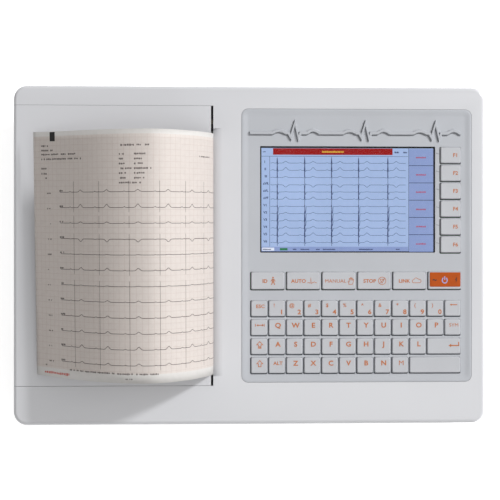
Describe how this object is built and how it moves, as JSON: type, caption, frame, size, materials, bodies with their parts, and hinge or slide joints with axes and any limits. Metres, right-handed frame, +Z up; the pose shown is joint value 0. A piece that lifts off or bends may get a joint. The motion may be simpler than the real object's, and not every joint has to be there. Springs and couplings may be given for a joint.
{
  "type": "ecg machine",
  "caption": "Desktop electrocardiograph: sloping casing with display, full keyboard, sprung control keys, and a thermal printer under a sliding paper door with a chart sheet arching out.",
  "frame": {"origin": "under the middle of the machine, on the surface that it stands on", "axes": "+X to the operator's right, +Y to the rear, +Z up"},
  "size_m": [0.42, 0.3, 0.1408],
  "materials": {
    "casing_white": "glossy",
    "panel_grey": "satin",
    "key_grey": "matte",
    "key_orange": "satin",
    "legend_orange": "matte",
    "display_lens": "glossy",
    "display_module": "satin",
    "foot_rubber": "matte",
    "platen_rubber": "matte",
    "steel": "satin",
    "motor_steel": "satin",
    "aluminium": "satin",
    "brass": "satin",
    "gear_plastic": "satin",
    "head_ceramic": "satin",
    "tray_grey": "matte",
    "chart_paper": "matte",
    "circuit_green": "satin",
    "circuit_brown": "satin",
    "battery_blue": "satin",
    "black_plastic": "satin",
    "socket_shell": "satin",
    "fuse_glass": "glossy"
  },
  "bodies": {
    "root": {"base_shell": "casing_white", "top_shell": "casing_white", "battery_door": "casing_white", "control_panel": "panel_grey", "keypad_mat": "key_grey", "display_window": "display_lens", "lcd_module": "display_module", "foot_front_left": "foot_rubber", "foot_front_right": "foot_rubber", "foot_rear_left": "foot_rubber", "foot_rear_right": "foot_rubber", "case_screw_front_left": "steel", "case_screw_front_right": "steel", "case_screw_rear_left": "steel", "case_screw_rear_right": "steel", "idler_pin": "steel", "printer_frame": "steel", "tear_bar": "steel", "head_spring_front": "steel", "head_spring_rear": "steel", "stepper_motor": "motor_steel", "ground_stud": "brass", "paper_tray": "tray_grey", "paper_pack": "chart_paper", "printed_sheet": "chart_paper", "main_board": "circuit_green", "ecg_front_end_board": "circuit_green", "keyboard_board": "circuit_green", "power_supply_board": "circuit_brown", "battery_pack": "battery_blue", "mains_inlet": "black_plastic", "speaker": "black_plastic", "paper_sensor": "black_plastic", "lan_port": "socket_shell", "usb_port": "socket_shell", "patient_connector": "socket_shell"},
    "paper_door": {"paper_door": "casing_white", "platen_bush_front": "brass", "platen_bush_rear": "brass"},
    "platen": {"platen_roller": "platen_rubber", "platen_shaft": "steel", "platen_gear": "gear_plastic"},
    "idler": {"idler_gear": "gear_plastic"},
    "motor_rotor": {"motor_pinion": "brass"},
    "head_carriage": {"print_head": "head_ceramic", "head_heat_sink": "aluminium"},
    "fuse_drawer": {"fuse_drawer": "black_plastic", "mains_fuse": "fuse_glass"},
    "key_f1": {"key_f1": "key_grey"},
    "key_f2": {"key_f2": "key_grey"},
    "key_f3": {"key_f3": "key_grey"},
    "key_f4": {"key_f4": "key_grey"},
    "key_f5": {"key_f5": "key_grey"},
    "key_f6": {"key_f6": "key_grey"},
    "key_id": {"key_id": "key_grey"},
    "key_auto": {"key_auto": "key_grey"},
    "key_manual": {"key_manual": "key_grey"},
    "key_stop": {"key_stop": "key_grey"},
    "key_link": {"key_link": "key_grey"},
    "key_power": {"key_power": "key_orange"}
  },
  "joints": [
    {"name": "door_slide", "type": "slide", "parent": "root", "child": "paper_door", "axis": [-1, 0, 0], "range_m": [0, 0.14]},
    {"name": "platen_spin", "type": "hinge", "parent": "paper_door", "child": "platen", "pos_m": [-0.0416, 0.0013, 0.06006], "axis": [0, 0.9957, 0.0929], "continuous": true},
    {"name": "idler_spin", "type": "hinge", "parent": "root", "child": "idler", "pos_m": [-0.02249, 0.12117, 0.05625], "axis": [0, 0.9957, 0.0929], "continuous": true},
    {"name": "motor_spin", "type": "hinge", "parent": "root", "child": "motor_rotor", "pos_m": [-0.00072, 0.12135, 0.05436], "axis": [0, 0.9957, 0.0929], "continuous": true},
    {"name": "head_press", "type": "slide", "parent": "root", "child": "head_carriage", "axis": [1, 0, 0], "range_m": [0, 0.0012], "stiffness_N_per_m": 3000, "springref_m": -0.002, "deforming": ["head_spring_front", "head_spring_rear"]},
    {"name": "fuse_drawer_slide", "type": "slide", "parent": "root", "child": "fuse_drawer", "axis": [0, 1, 0], "range_m": [0, 0.024]},
    {"name": "press_f1", "type": "slide", "parent": "root", "child": "key_f1", "axis": [0, 0.0929, -0.9957], "range_m": [0, 0.0012], "stiffness_N_per_m": 400, "springref_m": -0.0005},
    {"name": "press_f2", "type": "slide", "parent": "root", "child": "key_f2", "axis": [0, 0.0929, -0.9957], "range_m": [0, 0.0012], "stiffness_N_per_m": 400, "springref_m": -0.0005},
    {"name": "press_f3", "type": "slide", "parent": "root", "child": "key_f3", "axis": [0, 0.0929, -0.9957], "range_m": [0, 0.0012], "stiffness_N_per_m": 400, "springref_m": -0.0005},
    {"name": "press_f4", "type": "slide", "parent": "root", "child": "key_f4", "axis": [0, 0.0929, -0.9957], "range_m": [0, 0.0012], "stiffness_N_per_m": 400, "springref_m": -0.0005},
    {"name": "press_f5", "type": "slide", "parent": "root", "child": "key_f5", "axis": [0, 0.0929, -0.9957], "range_m": [0, 0.0012], "stiffness_N_per_m": 400, "springref_m": -0.0005},
    {"name": "press_f6", "type": "slide", "parent": "root", "child": "key_f6", "axis": [0, 0.0929, -0.9957], "range_m": [0, 0.0012], "stiffness_N_per_m": 400, "springref_m": -0.0005},
    {"name": "press_id", "type": "slide", "parent": "root", "child": "key_id", "axis": [0, 0.0929, -0.9957], "range_m": [0, 0.0012], "stiffness_N_per_m": 400, "springref_m": -0.0005},
    {"name": "press_auto", "type": "slide", "parent": "root", "child": "key_auto", "axis": [0, 0.0929, -0.9957], "range_m": [0, 0.0012], "stiffness_N_per_m": 400, "springref_m": -0.0005},
    {"name": "press_manual", "type": "slide", "parent": "root", "child": "key_manual", "axis": [0, 0.0929, -0.9957], "range_m": [0, 0.0012], "stiffness_N_per_m": 400, "springref_m": -0.0005},
    {"name": "press_stop", "type": "slide", "parent": "root", "child": "key_stop", "axis": [0, 0.0929, -0.9957], "range_m": [0, 0.0012], "stiffness_N_per_m": 400, "springref_m": -0.0005},
    {"name": "press_link", "type": "slide", "parent": "root", "child": "key_link", "axis": [0, 0.0929, -0.9957], "range_m": [0, 0.0012], "stiffness_N_per_m": 400, "springref_m": -0.0005},
    {"name": "press_power", "type": "slide", "parent": "root", "child": "key_power", "axis": [0, 0.0929, -0.9957], "range_m": [0, 0.0012], "stiffness_N_per_m": 400, "springref_m": -0.0005}
  ],
  "couplings": [
    {"joint": "idler_spin", "follows": "platen_spin", "ratio": -0.5},
    {"joint": "motor_spin", "follows": "platen_spin", "ratio": 1.4286}
  ]
}
